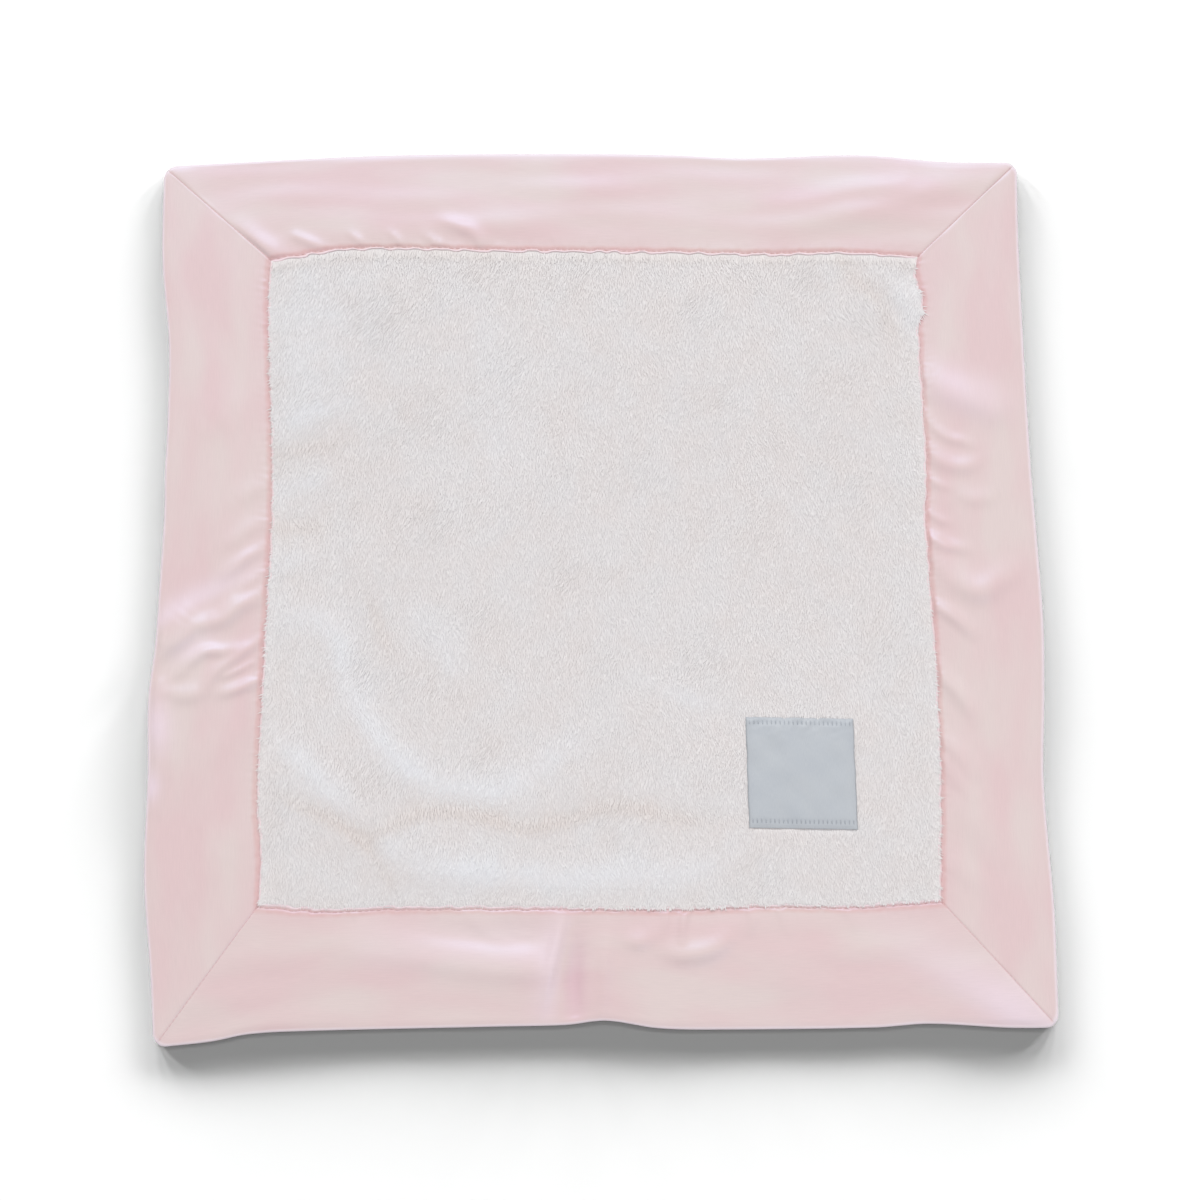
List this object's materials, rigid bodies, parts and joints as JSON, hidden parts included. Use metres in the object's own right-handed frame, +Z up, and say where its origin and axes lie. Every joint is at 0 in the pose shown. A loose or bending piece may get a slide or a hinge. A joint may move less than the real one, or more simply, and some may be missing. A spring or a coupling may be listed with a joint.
{
  "type": "comfort blanket lovey",
  "caption": "Small square plush comfort blanket with a wide folded satin border, mitred at the corners, and a bare sewn-on patch.",
  "frame": {"origin": "bottom centre of the bounding box: the blanket lies flat with its underside at Z = 0", "axes": "+Z up through the blanket's thickness, +Y towards its top edge, +X towards the side the patch is near"},
  "size_m": [0.4166, 0.4222, 0.0123],
  "materials": {
    "cream_plush": "plush",
    "pink_satin": "satin",
    "grey_satin": "satin"
  },
  "bodies": {
    "root": {"plush_front": "cream_plush", "plush_back": "cream_plush", "border_top": "pink_satin", "border_right": "pink_satin", "border_bottom": "pink_satin", "border_left": "pink_satin", "label_patch": "grey_satin"}
  },
  "joints": []
}
